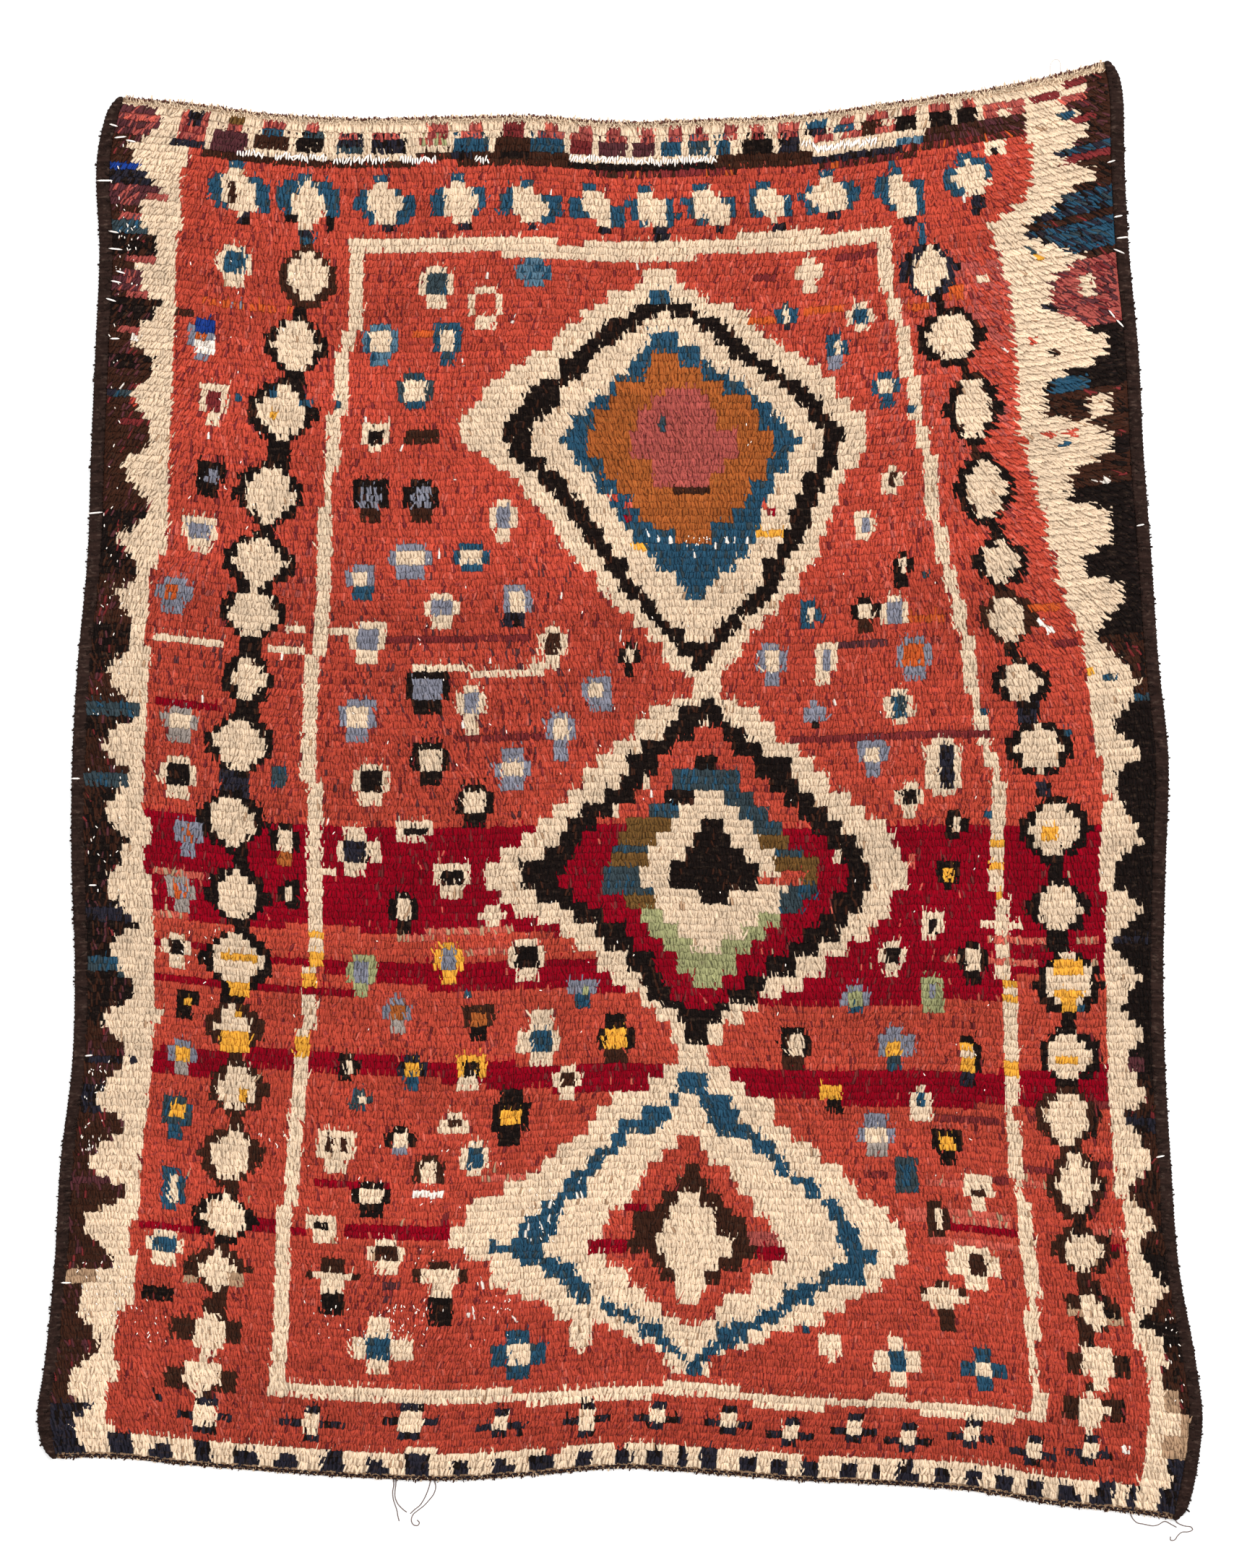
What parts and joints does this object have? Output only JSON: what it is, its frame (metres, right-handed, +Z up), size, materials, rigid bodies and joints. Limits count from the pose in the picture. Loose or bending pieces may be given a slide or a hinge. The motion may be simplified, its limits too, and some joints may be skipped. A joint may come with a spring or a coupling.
{
  "type": "gabbeh rug",
  "caption": "Old hand-knotted gabbeh rug lying flat, with overcast side bindings, narrow woven web ends and loose worn threads.",
  "frame": {"origin": "on the underside, below the middle of the rug's box, loose threads left out", "axes": "+Z up out of the pile, +Y along the rug's length to its narrower end, +X across it to the right"},
  "size_m": [1.3691, 1.744, 0.01],
  "materials": {
    "wool_red": "worn wool pile",
    "wool_crimson": "worn wool pile",
    "wool_ivory": "worn wool pile",
    "wool_dark": "worn wool pile",
    "wool_blue": "worn wool pile",
    "wool_grey": "worn wool pile",
    "wool_ochre": "worn wool pile",
    "binding_brown": "overcast wool yarn",
    "cotton_white": "cotton thread",
    "thread_grey": "worn thread"
  },
  "bodies": {
    "root": {"rug_body": "wool_red", "selvedge_left": "binding_brown", "selvedge_right": "binding_brown", "thread_bottom_tail": "thread_grey", "thread_bottom_link": "thread_grey", "thread_bottom_curl": "thread_grey", "thread_bottom_twin": "thread_grey", "thread_bottom_right": "thread_grey", "thread_corner_curl": "thread_grey", "thread_top_loop": "cotton_white"}
  },
  "joints": []
}
